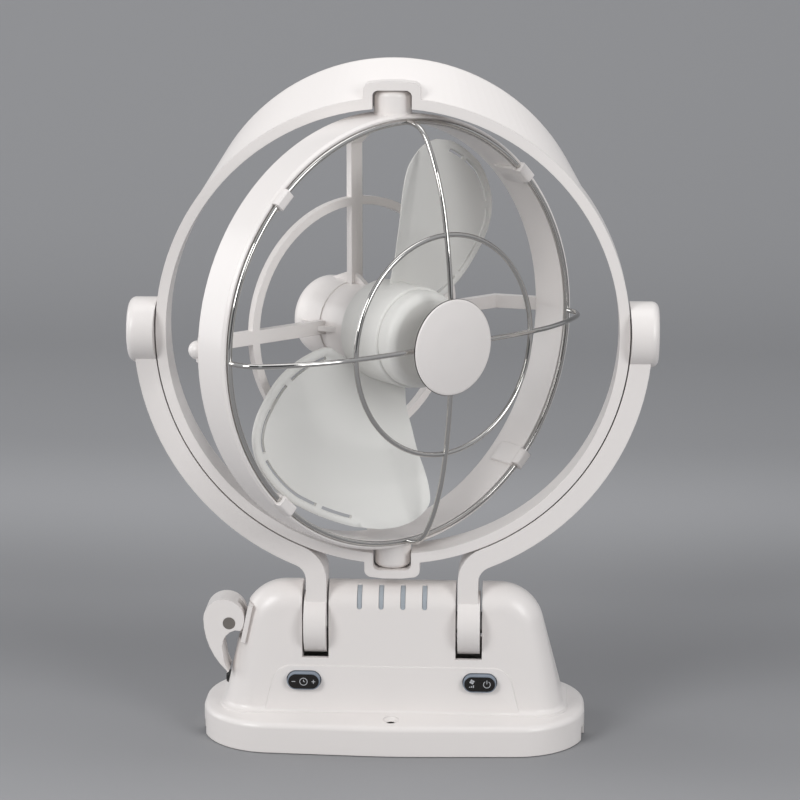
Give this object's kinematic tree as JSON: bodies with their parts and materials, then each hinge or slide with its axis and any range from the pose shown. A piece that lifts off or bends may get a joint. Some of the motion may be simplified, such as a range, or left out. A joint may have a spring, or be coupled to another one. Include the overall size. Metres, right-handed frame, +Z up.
{
  "type": "portable gimbal fan",
  "caption": "White tabletop fan: a guarded impeller head swivels in a tilting gimbal ring on a folding yoke, over a base with rocker keys and a cam lever.",
  "frame": {"origin": "centre of the base's bottom face", "axes": "+Z up, the front with the keys faces -Y, +X to the right of someone facing the front"},
  "size_m": [0.251, 0.1653, 0.3323],
  "materials": {
    "shell": "warm white moulded plastic, satin gloss",
    "plate": "white moulded plastic, plain",
    "blade": "matte greenish white plastic",
    "chrome": "polished chromed wire",
    "steel": "bright steel",
    "pin": "dull steel",
    "board": "green circuit board",
    "switch": "black switch bodies",
    "lamp": "clear lamp",
    "guide": "translucent blue-grey plastic",
    "key_side": "blue-grey elastic key",
    "key_face": "black glossy key face with pale signs",
    "inlet": "black inlet",
    "bush": "natural bearing plastic",
    "friction": "dark friction lining",
    "spring": "spring steel"
  },
  "bodies": {
    "base": {"base_housing": "shell", "base_plate": "plate", "base_plate_screws": "steel", "control_board": "board", "board_screws": "steel", "tact_switches": "switch", "key_holders": "plate", "lamp_board": "board", "lamp_board_screws": "steel", "indicator_lamps": "lamp", "light_guide": "guide", "dc_inlet": "inlet", "cam_seat": "shell", "seat_nut": "steel", "hinge_bushes": "bush", "brake_spring": "spring"},
    "timer_key_body": {"timer_key": "key_side", "timer_key_face": "key_face"},
    "power_key_body": {"power_key": "key_side", "power_key_face": "key_face"},
    "rod": {"draw_rod": "steel", "lever_pin": "pin", "brake_disc": "friction", "rod_nut": "steel"},
    "lever": {"cam_lever": "shell"},
    "yoke": {"yoke_arm_left": "shell", "yoke_arm_right": "shell", "hinge_tube": "steel", "hinge_pins": "steel", "tilt_pivots": "steel"},
    "ring": {"gimbal_ring": "shell", "swivel_pins": "steel", "tilt_washers": "friction"},
    "head": {"shroud_ring": "shell", "swivel_bushes": "bush", "rear_spider": "shell", "motor_cover": "shell", "motor_can": "steel", "motor_bearings": "steel", "motor_screws": "steel", "guard_outer_ring": "chrome", "guard_inner_ring": "chrome", "guard_upright_wire": "chrome", "guard_level_wire": "chrome", "guard_clips": "shell", "guard_cap": "shell", "cap_plate": "plate", "cap_screws": "steel"},
    "fan": {"impeller": "blade", "spinner_cap": "blade", "motor_shaft": "steel", "motor_rotor": "steel", "impeller_nut": "steel"}
  },
  "joints": [
    {"name": "yoke_fold", "type": "hinge", "parent": "base", "child": "yoke", "pos_m": [0, -0.016, 0.06], "axis": [1, 0, 0], "range_deg": [-60, 90]},
    {"name": "ring_tilt", "type": "hinge", "parent": "yoke", "child": "ring", "pos_m": [0, -0.016, 0.2038], "axis": [1, 0, 0], "range_deg": [-90, 90]},
    {"name": "head_swivel", "type": "hinge", "parent": "ring", "child": "head", "pos_m": [0, -0.016, 0.2038], "axis": [0, 0, 1], "range_deg": [-130, 50]},
    {"name": "fan_spin", "type": "hinge", "parent": "head", "child": "fan", "pos_m": [0, -0.016, 0.2038], "axis": [0.6514, -0.7587, 0], "continuous": true},
    {"name": "lever_open", "type": "hinge", "parent": "rod", "child": "lever", "pos_m": [-0.07927, -0.016, 0.06], "axis": [0, 1, 0], "range_deg": [0, 45]},
    {"name": "brake_release", "type": "slide", "parent": "base", "child": "rod", "axis": [-1, 0, 0], "range_m": [0, 0.00192]},
    {"name": "timer_rock", "type": "hinge", "parent": "base", "child": "timer_key_body", "pos_m": [-0.0427, -0.021, 0.033], "axis": [0, 0, 1], "range_deg": [-2.5, 2.5], "stiffness_Nm_per_rad": 0.12},
    {"name": "power_rock", "type": "hinge", "parent": "base", "child": "power_key_body", "pos_m": [0.0427, -0.021, 0.033], "axis": [0, 0, 1], "range_deg": [-2.5, 2.5], "stiffness_Nm_per_rad": 0.12}
  ],
  "couplings": [
    {"joint": "lever_open", "follows": "brake_release", "rad_per_m": 409}
  ]
}
